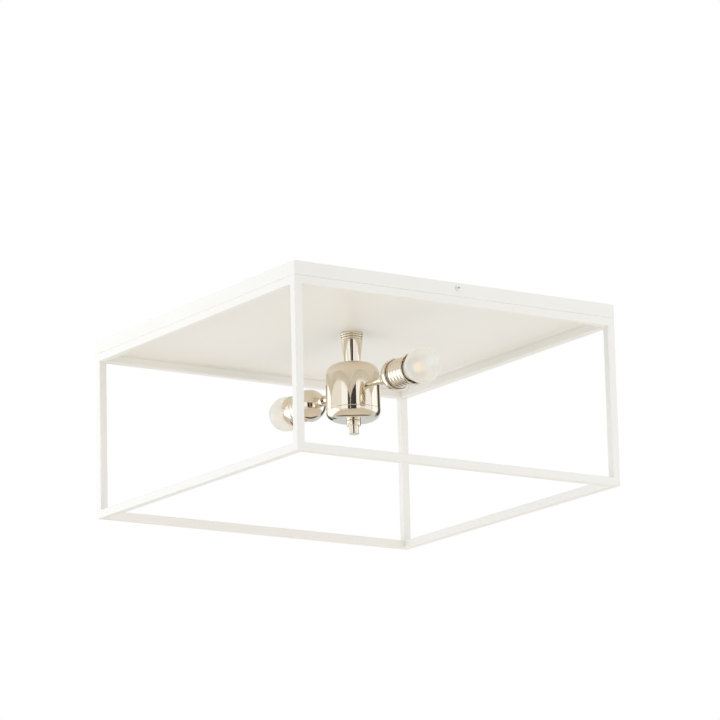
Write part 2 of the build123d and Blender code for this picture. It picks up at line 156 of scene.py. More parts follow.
# For each face of a piece: its distance along an axis, and how far it looks away from that axis
def facePlaces(piece, place):
    mesh = piece.data
    centre, normal = np.empty(len(mesh.polygons) * 3), np.empty(len(mesh.polygons) * 3)
    mesh.polygons.foreach_get("center", centre)
    mesh.polygons.foreach_get("normal", normal)
    foot, axis = np.array(place[0]) * mm, np.array(place[1])
    out = centre.reshape(-1, 3) - foot
    along = out @ axis
    out = out - along[:, None] * axis
    length = np.maximum(np.linalg.norm(out, axis=1), leastLength)
    outward = (normal.reshape(-1, 3) * out).sum(axis=1) / length
    return along / mm, outward


# Gives some faces of a piece a second finish
def secondFinish(piece, faces, material):
    piece.data.materials.append(material)
    piece.data.polygons.foreach_set("material_index", faces.astype(np.int32))


# Lines the inside of a turned piece, up to a distance along its axis
def lineInside(piece, place, material, end=math.inf, leastInward=0.02):
    along, outward = facePlaces(piece, place)
    secondFinish(piece, (outward < -leastInward) & (along < end), material)


# A material with its node tree, its shader and its texture coordinates
def startMaterial(name):
    material = bpy.data.materials.new(name)
    material.use_nodes = True
    tree = material.node_tree
    shader = tree.nodes["Principled BSDF"]
    place = tree.nodes.new("ShaderNodeTexCoord")
    return material, tree, shader, place


# Noise on object coordinates, stretched where a grain runs one way
def noiseNode(tree, place, scale, detail=3.0, stretch=None):
    noise = tree.nodes.new("ShaderNodeTexNoise")
    noise.inputs["Scale"].default_value = scale
    noise.inputs["Detail"].default_value = detail
    source = place.outputs["Object"]
    if stretch is not None:
        mapping = tree.nodes.new("ShaderNodeMapping")
        mapping.inputs["Scale"].default_value = stretch
        tree.links.new(source, mapping.inputs["Vector"])
        source = mapping.outputs["Vector"]
    tree.links.new(source, noise.inputs["Vector"])
    return noise


patternSpan = (0.3, 0.7)  # where most of the noise lies


# Spreads a pattern's values between two numbers
def rangeNode(tree, source, low, high):
    spread = tree.nodes.new("ShaderNodeMapRange")
    spread.inputs["From Min"].default_value = patternSpan[0]
    spread.inputs["From Max"].default_value = patternSpan[1]
    spread.inputs["To Min"].default_value = low
    spread.inputs["To Max"].default_value = high
    tree.links.new(source.outputs["Fac"], spread.inputs["Value"])
    return spread.outputs["Result"]


# Blends two colours by a pattern
def colourNode(tree, source, first, second):
    ramp = tree.nodes.new("ShaderNodeValToRGB")
    ramp.color_ramp.elements[0].position = patternSpan[0]
    ramp.color_ramp.elements[1].position = patternSpan[1]
    ramp.color_ramp.elements[0].color = (*first, 1)
    ramp.color_ramp.elements[1].color = (*second, 1)
    tree.links.new(source.outputs["Fac"], ramp.inputs["Fac"])
    return ramp.outputs["Color"]


# Raises the surface by a pattern
def bumpNode(tree, shader, source, strength, distance):
    bump = tree.nodes.new("ShaderNodeBump")
    bump.inputs["Strength"].default_value = strength
    bump.inputs["Distance"].default_value = distance
    tree.links.new(source.outputs["Fac"], bump.inputs["Height"])
    tree.links.new(bump.outputs["Normal"], shader.inputs["Normal"])


# Frosting: light passes through and comes back scattered, and more of it does towards the rim
def frostNodes(tree, shader, slow, look):
    through = tree.nodes.new("ShaderNodeBsdfTranslucent")
    through.inputs["Color"].default_value = (*look["scatterColour"], 1)
    back = tree.nodes.new("ShaderNodeBsdfDiffuse")
    back.inputs["Color"].default_value = (*look["scatterColour"], 1)
    both = tree.nodes.new("ShaderNodeMixShader")
    both.inputs["Fac"].default_value = look["scatterBack"]
    tree.links.new(through.outputs["BSDF"], both.inputs[1])
    tree.links.new(back.outputs["BSDF"], both.inputs[2])
    rim = tree.nodes.new("ShaderNodeLayerWeight")
    rim.inputs["Blend"].default_value = look["scatterRim"]
    cloud = tree.nodes.new("ShaderNodeMath")
    cloud.operation = "MAXIMUM"
    tree.links.new(rangeNode(tree, slow, *look["scatter"]), cloud.inputs[0])
    tree.links.new(rim.outputs["Facing"], cloud.inputs[1])
    blend = tree.nodes.new("ShaderNodeMixShader")
    tree.links.new(cloud.outputs["Value"], blend.inputs["Fac"])
    tree.links.new(shader.outputs["BSDF"], blend.inputs[1])
    tree.links.new(both.outputs["Shader"], blend.inputs[2])
    tree.links.new(blend.outputs["Shader"], tree.nodes["Material Output"].inputs["Surface"])


# A surface with no gloss
def mattSurface(shader, roughness):
    shader.inputs["Roughness"].default_value = roughness
    shader.inputs["Specular IOR Level"].default_value = 0.0


# One finish: a slow pattern moves the colour and the gloss, a fine one raises the surface
def finishMaterial(name, look):
    material, tree, shader, place = startMaterial(name)
    slow = noiseNode(tree, place, look["patchScale"])
    fine = noiseNode(tree, place, look["grainScale"], stretch=look.get("grainStretch"))
    tree.links.new(colourNode(tree, slow, look["colour"], look["colourPatch"]), shader.inputs["Base Color"])
    tree.links.new(rangeNode(tree, slow, *look["roughness"]), shader.inputs["Roughness"])
    shader.inputs["Metallic"].default_value = look.get("metallic", 0.0)
    shader.inputs["Coat Weight"].default_value = look.get("coat", 0.0)
    shader.inputs["Coat Roughness"].default_value = look.get("coatRoughness", 0.03)
    shader.inputs["Transmission Weight"].default_value = look.get("transmission", 0.0)
    shader.inputs["IOR"].default_value = look.get("ior", 1.5)
    if "glow" in look:
        shader.inputs["Emission Color"].default_value = (*look["glow"], 1)
        shader.inputs["Emission Strength"].default_value = look["glowStrength"]
    bumpNode(tree, shader, fine, look["grainStrength"], look["grainDepth"])
    if "scatter" in look:
        frostNodes(tree, shader, slow, look)
    return material


finishes = {
    "white_paint": {
        "colour": (0.865, 0.855, 0.825), "colourPatch": (0.88, 0.872, 0.845), "patchScale": 9.0,
        "roughness": (0.34, 0.42), "grainScale": 900.0, "grainStrength": 0.12, "grainDepth": 0.0002,
    },
    "polished_nickel": {
        "colour": (0.785, 0.695, 0.565), "colourPatch": (0.80, 0.715, 0.59), "patchScale": 60.0,
        "metallic": 1.0, "roughness": (0.03, 0.06), "grainScale": 300.0, "grainStrength": 0.015,
        "grainDepth": 0.0001,
    },
    "bright_plate": {
        "colour": (0.92, 0.915, 0.90), "colourPatch": (0.94, 0.935, 0.92), "patchScale": 90.0,
        "metallic": 0.3, "roughness": (0.36, 0.44), "grainScale": 400.0, "grainStrength": 0.03,
        "grainDepth": 0.0001,
    },
    # painted shade: a grey that stands in for the shade in the screw recesses and on the shaded upright
    # edges of the heads
    "painted_screw_shade": {
        "colour": (0.26, 0.25, 0.23), "colourPatch": (0.32, 0.31, 0.29), "patchScale": 200.0,
        "roughness": (0.5, 0.65), "grainScale": 900.0, "grainStrength": 0.1, "grainDepth": 0.0001,
    },
    "zinc_steel": {
        "colour": (0.60, 0.61, 0.62), "colourPatch": (0.70, 0.69, 0.66), "patchScale": 90.0,
        "metallic": 1.0, "roughness": (0.24, 0.38), "grainScale": 420.0, "grainStretch": (1.0, 0.12, 1.0),
        "grainStrength": 0.12, "grainDepth": 0.0002,
    },
    "brass": {
        "colour": (0.78, 0.58, 0.27), "colourPatch": (0.70, 0.50, 0.22), "patchScale": 120.0,
        "metallic": 1.0, "roughness": (0.2, 0.34), "grainScale": 500.0, "grainStrength": 0.1,
        "grainDepth": 0.0002,
    },
    "holder_insulation": {
        "colour": (0.80, 0.77, 0.70), "colourPatch": (0.86, 0.84, 0.78), "patchScale": 80.0,
        "roughness": (0.5, 0.65), "grainScale": 700.0, "grainStrength": 0.2, "grainDepth": 0.0002,
    },
    "solder": {
        "colour": (0.50, 0.50, 0.51), "colourPatch": (0.62, 0.61, 0.60), "patchScale": 300.0,
        "metallic": 1.0, "roughness": (0.3, 0.5), "grainScale": 900.0, "grainStrength": 0.3,
        "grainDepth": 0.0002,
    },
    "black_glass": {
        "colour": (0.012, 0.012, 0.015), "colourPatch": (0.02, 0.02, 0.024), "patchScale": 150.0,
        "roughness": (0.08, 0.16), "grainScale": 500.0, "grainStrength": 0.06, "grainDepth": 0.0002,
    },
    "bulb_shell": {
        "colour": (0.74, 0.73, 0.71), "colourPatch": (0.82, 0.81, 0.79), "patchScale": 150.0,
        "metallic": 1.0, "roughness": (0.16, 0.26), "grainScale": 600.0, "grainStrength": 0.08,
        "grainDepth": 0.0002,
    },
    "frosted_glass": {
        "colour": (0.985, 0.99, 0.985), "colourPatch": (0.99, 0.995, 0.99), "patchScale": 40.0,
        "transmission": 1.0, "ior": 1.12, "roughness": (0.46, 0.52), "coat": 1.0, "coatRoughness": 0.02,
        "scatter": (0.50, 0.56), "scatterColour": (0.925, 0.935, 0.925), "scatterBack": 0.4,
        "scatterRim": 0.5,
        "grainScale": 1500.0, "grainStrength": 0.01, "grainDepth": 0.0001,
    },
    "neck_white": {
        "colour": (0.93, 0.925, 0.91), "colourPatch": (0.95, 0.945, 0.93), "patchScale": 60.0,
        "roughness": (0.5, 0.6), "grainScale": 800.0, "grainStrength": 0.1, "grainDepth": 0.0001,
    },
    "fibre_lining": {
        "colour": (0.82, 0.79, 0.73), "colourPatch": (0.87, 0.85, 0.80), "patchScale": 120.0,
        "roughness": (0.6, 0.75), "grainScale": 500.0, "grainStrength": 0.2, "grainDepth": 0.0002,
    },
    "clear_glass": {
        "colour": (0.96, 0.97, 0.96), "colourPatch": (0.98, 0.985, 0.98), "patchScale": 60.0,
        "transmission": 1.0, "ior": 1.45, "roughness": (0.01, 0.03), "grainScale": 200.0,
        "grainStrength": 0.02, "grainDepth": 0.0001,
    },
    "filament_phosphor": {
        "colour": (0.95, 0.62, 0.18), "colourPatch": (0.98, 0.70, 0.26), "patchScale": 400.0,
        "roughness": (0.5, 0.6), "glow": (1.0, 0.58, 0.2), "glowStrength": 0.95,
        "grainScale": 1200.0, "grainStrength": 0.2, "grainDepth": 0.0001,
    },
}
finish = {name: finishMaterial(name, look) for name, look in finishes.items()}
for node, obj in frame["nodes"].items():
    obj.data.materials.clear()
    obj.data.materials.append(finish[nodeSlot[node]])
print("finishes made:", ", ".join(finish))

nickel = finish["polished_nickel"]
columnPlace = ((0.0, 0.0, 0.0), (0.0, 0.0, 1.0))
tubeHole = 5.2  # radius of the hole for the centre tube


collarLook = {"ringWidths": (27.8, 27.2, 25.8), "bead": 1.1}


# Stacked rings whose edges are rounded to beads
def stemCollar():
    low, high = nodeBox("stem_collar")
    bead = collarLook["bead"]
    ringHeight = (high[2] - low[2]) / len(collarLook["ringWidths"])
    corners = [(tubeHole, low[2], 0), (tubeHole, high[2], 0)]
    for place, width in enumerate(collarLook["ringWidths"]):
        top = high[2] - place * ringHeight
        corners += [(width / 2 - bead, top, 0), (width / 2, top, bead), (width / 2, top - ringHeight, bead)]
    outline = roundedOutline(corners)
    turnedPiece("stemCollar", outline, columnPlace, nickel, "fixture", "stem_collar")


coneLook = {"topWidth": 26.4, "bottomWidth": 18.6, "edge": 0.8, "footEdge": 0.2}


# Straight taper with a rounded upper edge
def stemCone():
    low, high = nodeBox("stem_cone")
    corners = [
        (tubeHole, high[2], 0),
        (coneLook["topWidth"] / 2, high[2], coneLook["edge"]),
        (coneLook["bottomWidth"] / 2, low[2], coneLook["footEdge"]),
        (tubeHole, low[2], 0),
    ]
    turnedPiece("stemCone", roundedOutline(corners), columnPlace, nickel, "fixture", "stem_cone")


bellLook = {"shoulder": 14.0, "wall": 1.5, "draft": 0.9, "seamEdge": 0.55, "arcSteps": 60, "turnSteps": 240}


# Bell shell, a little wider at its seam, with a rounded shoulder
def bodyBell():
    low, high = nodeBox("body_bell")
    wall = bellLook["wall"]
    radius = high[0]
    top = radius - bellLook["draft"]
    corners = [
        (tubeHole, high[2], 0),
        (top, high[2], bellLook["shoulder"]),
        (radius, low[2], bellLook["seamEdge"]),
        (radius - wall, low[2], 0),
        (top - wall, high[2] - wall, bellLook["shoulder"] - wall),
        (tubeHole, high[2] - wall, 0),
    ]
    outline = roundedOutline(corners, bellLook["arcSteps"])
    turnedPiece("bodyBell", outline, columnPlace, nickel, "fixture", "body_bell", bellLook["turnSteps"])


capLook = {"round": 12.0, "wall": 1.5, "seamEdge": 0.55, "lipGap": 0.2, "lipWall": 1.4, "lipHeight": 4.0,
           "arcSteps": 60, "turnSteps": 240}


# Bowl under the bell, with a register lip inside the bell's edge
def lowerCap():
    low, high = nodeBox("lower_cap")
    seam = high[2] - capLook["lipHeight"]
    radius = high[0]
    lip = radius - bellLook["wall"] - capLook["lipGap"]
    inside = lip - capLook["lipWall"]
    floorTop = low[2] + capLook["wall"]
    corners = [
        (tubeHole, low[2], 0),
        (radius, low[2], capLook["round"]),
        (radius, seam, capLook["seamEdge"]),
        (lip, seam, 0),
        (lip, high[2], 0),
        (inside, high[2], 0),
        (inside, floorTop, capLook["round"] - capLook["wall"]),
        (tubeHole, floorTop, 0),
    ]
    outline = roundedOutline(corners, capLook["arcSteps"])
    turnedPiece("lowerCap", outline, columnPlace, nickel, "fixture", "lower_cap", capLook["turnSteps"])


finialLook = {"ringHeight": 6.5, "barrelWidth": 11.6, "barrelHeight": 8.2, "tipWidth": 12.6, "edge": 0.6,
              "innerEdge": 0.15, "threadDepth": 5.1, "threadWidth": 10.2}


# Two-step knob under the cap
def finial():
    low, high = nodeBox("finial")
    edge, inner = finialLook["edge"], finialLook["innerEdge"]
    ring, barrel, tip = high[0], finialLook["barrelWidth"] / 2, finialLook["tipWidth"] / 2
    thread = finialLook["threadWidth"] / 2
    step = high[2] - finialLook["ringHeight"]
    tipTop = step - finialLook["barrelHeight"]
    bore = high[2] - finialLook["threadDepth"]
    corners = [
        (0, bore, 0), (thread, bore, 0), (thread, high[2], 0),
        (ring, high[2], edge), (ring, step, edge), (barrel, step, inner),
        (barrel, tipTop, inner), (tip, tipTop, edge / 2), (tip, low[2], edge), (0, low[2], 0),
    ]
    turnedPiece("finial", roundedOutline(corners), columnPlace, nickel, "fixture", "finial")


screwLook = {"recessFloor": 1.55, "recessFacing": 0.1, "edgeFacing": 0.98}


# Near-white plate on the side screws, with painted shade: grey in the recesses and on the upright edges of
# their heads, where shade falls
def sideScrews():
    screws = frame["nodes"]["canopy_screws"]
    low, high = nodeBox("canopy_screws")
    along, outward = facePlaces(screws, ((0.0, 0.0, (low[2] + high[2]) / 2), (0.0, 1.0, 0.0)))
    rise = np.abs(along) - nodeBox("canopy_pan")[1][1]
    recess = (rise > screwLook["recessFloor"]) & (outward < screwLook["recessFacing"])
    edge = (rise > 0) & (outward > screwLook["edgeFacing"])
    screws.data.materials[0] = finish["bright_plate"]
    # grey painted shade in the recesses and on the heads' upright edges
    secondFinish(screws, recess | edge, finish["painted_screw_shade"])


frameLook = {"bar": 10.0, "edge": 1.0, "weldDepth": 0.9, "weldSteps": 9, "weldSharp": 40}


# Paint-filled weld round a post's outer corner: a thin rectangular profile carried along the corner's plan,
# which is straight, then a quarter circle of the tube's edge radius, then straight
def cornerWeld(name, side, ahead, low, high):
    half = nodeBox("canopy_pan")[1][0]
    bar, edge = frameLook["bar"], frameLook["edge"]
    turn = np.linspace(0, math.pi / 2, frameLook["weldSteps"])
    plan = np.vstack((
        [(half, half - bar)],
        np.column_stack((half - edge + edge * np.cos(turn), half - edge + edge * np.sin(turn))),
        [(half - bar, half)],
    ))
    out = np.vstack(([(1, 0)], np.column_stack((np.cos(turn), np.sin(turn))), [(0, 1)]))
    depth = np.array((0, 0, -1, -1)) * frameLook["weldDepth"]
    height = np.array((low, high, high, low))
    across = plan[:, None] + out[:, None] * depth[None, :, None]
    points = np.dstack((across * (side, ahead), np.broadcast_to(height, across.shape[:2])))
    rows, columns = points.shape[:2]
    index = np.arange(rows * columns).reshape(rows, columns)
    last, after = index[:-1], index[1:]
    lastNext, afterNext = np.roll(last, -1, axis=1), np.roll(after, -1, axis=1)
    quads = np.stack((last, after, afterNext, lastNext), axis=-1).reshape(-1, 4)
    faces = np.vstack((quads, index[0], index[-1][::-1]))
    faces = faces if side * ahead > 0 else faces[:, ::-1]
    points = points.reshape(-1, 3)
    weld = meshPiece(name, points, faces.tolist(), finish["white_paint"], frameLook["weldSharp"])
    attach(weld, "fixture")


# Two welds at every post: on the lower edge of the top rails and on the upper edge of the bottom rails
def cornerWelds():
    railLow = nodeBox("top_rail_front")[0][2]
    railHigh = nodeBox("bottom_rail_front")[1][2]
    for side, across in (("left", -1), ("right", 1)):
        for place, ahead in (("front", -1), ("back", 1)):
            corner = f"{place}_{side}"
            cornerWeld("upperWeld_" + corner, across, ahead, railLow, railLow + frameLook["edge"])
            cornerWeld("lowerWeld_" + corner, across, ahead, railHigh - frameLook["edge"], railHigh)


sideScrews()
cornerWelds()
print("side screws plated and frame welds filled")
stemCollar()
stemCone()
bodyBell()
lowerCap()
finial()
print("column turned")


# Foot and axis of an arm: its reach is measured from the column
def armPlace(side):
    low, high = nodeBox("arm_" + side)
    return (0.0, 0.0, (low[2] + high[2]) / 2), (0.0, sides[side], 0.0)


# Nearest and farthest reach of a node on an arm, and its largest radius
def reachOf(node, side):
    low, high = nodeBox(f"{node}_{side}")
    ends = sorted(abs(value) for value in (low[1], high[1]))
    return ends[0], ends[1], high[0]


armLook = {"bore": 5.0, "edge": 0.25}


# Straight tube
def armTube(side):
    near, far, radius = reachOf("arm", side)
    bore = armLook["bore"] / 2
    edge = armLook["edge"]
    outline = roundedOutline([(bore, near, 0), (radius, near, edge), (radius, far, edge), (bore, far, 0)])
    turnedPiece(f"arm_{side}_tube", outline, armPlace(side), nickel, "fixture", "arm_" + side)


domeLook = {"skirt": 2.0, "wall": 1.2, "lip": 0.5, "lipLength": 1.6, "lipEdge": 0.4, "mouthEdge": 0.2,
            "armHole": 8.2, "ballSteps": 90, "turnSteps": 200}


# Reach of the dome's centre, radius of its ball and reach of its mouth
def domeSizes(side):
    mouth, lipRadius = reachOf("holder_dome", side)[1:]
    return mouth - domeLook["skirt"], lipRadius - domeLook["lip"], mouth


# Half ball with a lip round its mouth: the ball has radius R sin q at reach c - R cos q, outside and inside
def holderDome(side):
    centre, radius, mouth = domeSizes(side)
    inside = radius - domeLook["wall"]
    hole, lip, edge = domeLook["armHole"] / 2, radius + domeLook["lip"], domeLook["lipEdge"]
    lipStart = mouth - domeLook["lipLength"]
    outer = np.linspace(math.asin(hole / radius), math.pi / 2, domeLook["ballSteps"])
    inner = np.linspace(math.pi / 2, math.asin(hole / inside), domeLook["ballSteps"])
    corners = np.vstack((
        np.column_stack((radius * np.sin(outer), centre - radius * np.cos(outer), 0 * outer)),
        [(radius, lipStart, 0), (lip, lipStart, edge), (lip, mouth, edge),
         (inside, mouth, domeLook["mouthEdge"])],
        np.column_stack((inside * np.sin(inner), centre - inside * np.cos(inner), 0 * inner)),
    ))
    dome = turnedPiece("holderDome_" + side, roundedOutline(corners), armPlace(side), nickel, "fixture",
                       "holder_dome_" + side, domeLook["turnSteps"])
    lineInside(dome, armPlace(side), finish["fibre_lining"])


collarOnArmLook = {"neckWidth": 11.4, "ring": 4.2, "edge": 0.5, "neckEdge": 0.1, "seat": 0.1,
                   "seatSteps": 16}


# Stepped collar whose far end follows the ball of the dome: reach c - sqrt(R^2 - r^2)
def armCollar(side):
    near, _, wide = reachOf("arm_collar", side)
    centre, domeRadius, _ = domeSizes(side)
    ball = domeRadius + collarOnArmLook["seat"]
    slim = collarOnArmLook["neckWidth"] / 2
    hole = domeLook["armHole"] / 2
    ring = collarOnArmLook["ring"]
    edge, neckEdge = collarOnArmLook["edge"], collarOnArmLook["neckEdge"]
    neckEnd = centre - domeRadius - ring
    across = np.linspace(wide, hole, collarOnArmLook["seatSteps"])
    seat = np.column_stack((across, centre - np.sqrt(ball**2 - across**2), 0 * across))
    corners = np.vstack((
        [(hole, near, 0), (wide, near, edge), (wide, near + ring, edge), (slim, near + ring, neckEdge),
         (slim, neckEnd, neckEdge), (wide, neckEnd, edge)],
        seat,
    ))
    turnedPiece("armCollar_" + side, roundedOutline(corners), armPlace(side), nickel, "fixture",
                "arm_collar_" + side)


sleeveLook = {"plain": 4.0, "ribs": 4, "ribPitch": 6.4, "ribDepth": 0.7, "width": 35.2, "wall": 1.2,
              "flareLength": 7.0, "flareWall": 0.8, "ribSteps": 25, "flareSteps": 32, "turnSteps": 220}


# Ribs are arcs of one pitch that rise by the rib's depth. The flare is an arc that leaves the wall
# along the axis, so the radius grows by Q - sqrt(Q^2 - l^2) over the length l
def holderSleeve(side):
    near, far, rimRadius = reachOf("holder_sleeve", side)
    depth, pitch = sleeveLook["ribDepth"], sleeveLook["ribPitch"]
    valley = sleeveLook["width"] / 2 - depth
    inside = valley - sleeveLook["wall"]
    curve = (pitch**2 / 4 + depth**2) / (2 * depth)
    offset = np.linspace(-pitch / 2, pitch / 2, sleeveLook["ribSteps"])
    rib = valley + np.sqrt(curve**2 - offset**2) - curve + depth
    first = near + sleeveLook["plain"] + pitch / 2
    reach = (first + pitch * np.arange(sleeveLook["ribs"]))[:, None] + offset[None]
    ribs = np.column_stack((np.tile(rib, sleeveLook["ribs"]), reach.ravel()))
    length = np.linspace(0, sleeveLook["flareLength"], sleeveLook["flareSteps"])
    flareStart = far - sleeveLook["flareLength"]

    def flare(start, end):
        bend = (length[-1]**2 + (end - start)**2) / (2 * (end - start))
        return np.column_stack((start + bend - np.sqrt(bend**2 - length**2), flareStart + length))

    outside = flare(valley, rimRadius)
    within = flare(inside, rimRadius - sleeveLook["flareWall"])[::-1]
    band = [(valley + depth, near), (valley + depth, near + sleeveLook["plain"])]
    line = np.vstack((band, ribs, outside, within, [(inside, near)]))
    sleeve = turnedPiece("holderSleeve_" + side, supported(line), armPlace(side), nickel, "fixture",
                         "holder_sleeve_" + side, sleeveLook["turnSteps"])
    lineInside(sleeve, armPlace(side), finish["fibre_lining"], flareStart)


threadLook = {"pitch": 3.62857, "depth": 0.7, "fade": 2.0}


# A right-hand thread: half the depth times the cosine of the turns that the helix has made at this
# place, faded out smoothly at both ends of the threaded stretch
def threadRelief(start, end):
    def relief(along, angle):
        turns = along / threadLook["pitch"] - angle / (2 * math.pi)
        ramp = np.clip(np.minimum(along - start, end - along) / threadLook["fade"], 0, 1)
        return threadLook["depth"] / 2 * ramp * ramp * (3 - 2 * ramp) * np.cos(2 * math.pi * turns)
    return relief


shellLook = {"wall": 0.5, "plainEnd": 1.0, "rows": 150, "turnSteps": 120}


# Rolled screw shell of the lampholder, threaded inside and outside
def screwShell(side):
    near, far, radius = reachOf("screw_shell", side)
    wall, middle = shellLook["wall"], threadLook["depth"] / 2
    reach = np.linspace(near, far, shellLook["rows"])
    outer = np.column_stack((0 * reach + radius - middle, reach))
    inner = np.column_stack((0 * reach + radius - middle - wall, reach[::-1]))
    relief = threadRelief(near + shellLook["plainEnd"], far - shellLook["plainEnd"])
    turnedPiece("screwShell_" + side, np.vstack((outer, inner)), armPlace(side), finish["brass"], "fixture",
                "screw_shell_" + side, shellLook["turnSteps"], relief)


baseLook = {"wall": 0.5, "bead": 1.5, "plainEnd": 3.0, "beadSteps": 12, "rows": 140, "turnSteps": 120}


# Screw base of the bulb: a rounded closed end, then the threaded wall and a plain band at the glass
def bulbBase(side):
    near, far, radius = reachOf("bulb_base", side)
    wall, bead = baseLook["wall"], baseLook["bead"]
    middle = radius - threadLook["depth"] / 2
    turn = np.linspace(0, math.pi / 2, baseLook["beadSteps"])
    end = np.column_stack((middle - bead + bead * np.sin(turn), near + bead - bead * np.cos(turn)))
    reach = np.linspace(near + bead, far, baseLook["rows"])[1:]
    outer = np.column_stack((0 * reach + middle, reach))
    inner = np.array([(middle - wall, far), (middle - wall, near + bead), (0, near + wall * 2)])
    outline = np.vstack(([(0, near)], end, outer, inner))
    relief = threadRelief(near + bead, far - baseLook["plainEnd"])

    def outerOnly(along, angle):
        return relief(along, angle) * (np.arange(len(along)) <= len(end) + len(outer))[:, None]

    turnedPiece("bulbBase_" + side, outline, armPlace(side), finish["bulb_shell"], "bulb_" + side,
                "bulb_base_" + side, baseLook["turnSteps"], outerOnly)


globeLook = {"neckWidth": 24.4, "bend": 2.0, "wall": 0.8, "whiteNeck": 12.0, "bendSteps": 12,
             "ballSteps": 150, "turnSteps": 160}


# Globe of radius R about reach c, a straight neck, and a cone between them that touches the globe and, past
# a bend of radius b, the neck: it opens by asin((R + b) / D) - atan(e / h), where the bend's centre is e
# from the axis, h short of c and D from the globe's centre. The inside is this outline, one wall further in
def bulbGlass(side):
    near, far, radius = reachOf("bulb_glass", side)
    centre = far - radius
    neck, bend = globeLook["neckWidth"] / 2, globeLook["bend"]
    pivot = reachOf("bulb_base", side)[1]
    apart = math.hypot(neck + bend, centre - pivot)
    opening = math.asin((radius + bend) / apart) - math.atan2(neck + bend, centre - pivot)

    def skin(inset):
        turn = np.linspace(0, opening, globeLook["bendSteps"])
        arc = bend + inset
        throat = np.column_stack((neck + bend - arc * np.cos(turn), pivot + arc * np.sin(turn)))
        sweep = np.linspace(math.pi / 2 - opening, math.pi, globeLook["ballSteps"])
        ball = radius - inset
        globe = np.column_stack((ball * np.sin(sweep), centre - ball * np.cos(sweep)))
        globe[-1, 0] = 0
        return np.vstack(([(neck - inset, near)], throat, globe))

    outline = np.vstack((skin(0), skin(globeLook["wall"])[::-1]))
    glass = turnedPiece("bulbGlass_" + side, supported(outline), armPlace(side), finish["frosted_glass"],
                        "bulb_" + side, "bulb_glass_" + side, globeLook["turnSteps"])
    lineInside(glass, armPlace(side), finish["neck_white"], near + globeLook["whiteNeck"])


filamentLook = {"endPlate": 1.05}


# White end plates on the cage of filaments
def filamentEnds(side):
    near, far, _ = reachOf("light_filaments", side)
    cage = frame["nodes"]["light_filaments_" + side]
    along, _ = facePlaces(cage, armPlace(side))
    plate = filamentLook["endPlate"]
    secondFinish(cage, (along < near + plate) | (along > far - plate), finish["neck_white"])


for side in sides:
    armTube(side)
    armCollar(side)
    holderDome(side)
    holderSleeve(side)
    screwShell(side)
    bulbBase(side)
    bulbGlass(side)
    filamentEnds(side)
print("arms, lampholders and bulbs turned")


# Direction from the object: azimuth 0 is towards the front
def direction(azimuth, elevation):
    turn, rise = math.radians(azimuth), math.radians(elevation)
    return Vector((math.sin(turn) * math.cos(rise), -math.cos(turn) * math.cos(rise), math.sin(rise)))


cameraLook = {"azimuth": -33.643, "elevation": -13.159, "roll": -1.356, "distance": 5.294, "lens": 216.93,
              "sensor": 36, "clip": 100, "aim": (0.0134, 0.0033, -0.0436)}


# Camera on a sphere about its aim, turned by its roll
def photoCamera():
    back = direction(cameraLook["azimuth"], cameraLook["elevation"])
    right = direction(cameraLook["azimuth"] + 90, 0)
    up = back.cross(right)
    roll = math.radians(cameraLook["roll"])
    across = right * math.cos(roll) + up * math.sin(roll)
    above = up * math.cos(roll) - right * math.sin(roll)
    camera = bpy.data.objects.new("photoCamera", bpy.data.cameras.new("photoCamera"))
    turn = Matrix((across, above, back)).transposed().to_4x4()
    place = Vector(cameraLook["aim"]) + back * cameraLook["distance"]
    camera.matrix_world = Matrix.Translation(place) @ turn
    camera.data.lens = cameraLook["lens"]
    camera.data.sensor_width = cameraLook["sensor"]
    camera.data.clip_end = cameraLook["clip"]
    bpy.context.scene.collection.objects.link(camera)
    bpy.context.scene.camera = camera


worldLook = {"seen": 1.0, "ambient": 0.86, "colour": (1.0, 1.0, 1.0)}


# White world: full strength where it is seen straight, in gloss or through glass, softer as light
def studioWorld():
    world = bpy.data.worlds.new("studioWorld")
    bpy.context.scene.world = world
    world.use_nodes = True
    tree = world.node_tree
    background = tree.nodes["Background"]
    background.inputs["Color"].default_value = (*worldLook["colour"], 1)
    path = tree.nodes.new("ShaderNodeLightPath")
    seen = path.outputs["Is Camera Ray"]
    for ray in ("Is Glossy Ray", "Is Transmission Ray"):
        either = tree.nodes.new("ShaderNodeMath")
        either.operation = "MAXIMUM"
        tree.links.new(seen, either.inputs[0])
        tree.links.new(path.outputs[ray], either.inputs[1])
        seen = either.outputs["Value"]
    strength = tree.nodes.new("ShaderNodeMapRange")
    strength.inputs["To Min"].default_value = worldLook["ambient"]
    strength.inputs["To Max"].default_value = worldLook["seen"]
    tree.links.new(seen, strength.inputs["Value"])
    tree.links.new(strength.outputs["Result"], background.inputs["Strength"])


floorLook = {"drop": 4.6, "ahead": 19.0, "behind": 120.0, "halfWidth": 13.0, "near": (0.85, 0.78, 0.68),
             "far": (0.82, 0.89, 0.95), "middleAhead": 7.57, "fade": (10.9, 11.9), "roughness": 0.9}


# Four corners of a flat stage piece, in metres
def flatPiece(name, corners, material):
    mesh = bpy.data.meshes.new(name)
    mesh.from_pydata([tuple(corner) for corner in corners], [], [(0, 1, 2, 3)])
    mesh.materials.append(material)
    piece = bpy.data.objects.new(name, mesh)
    bpy.context.scene.collection.objects.link(piece)
    return piece


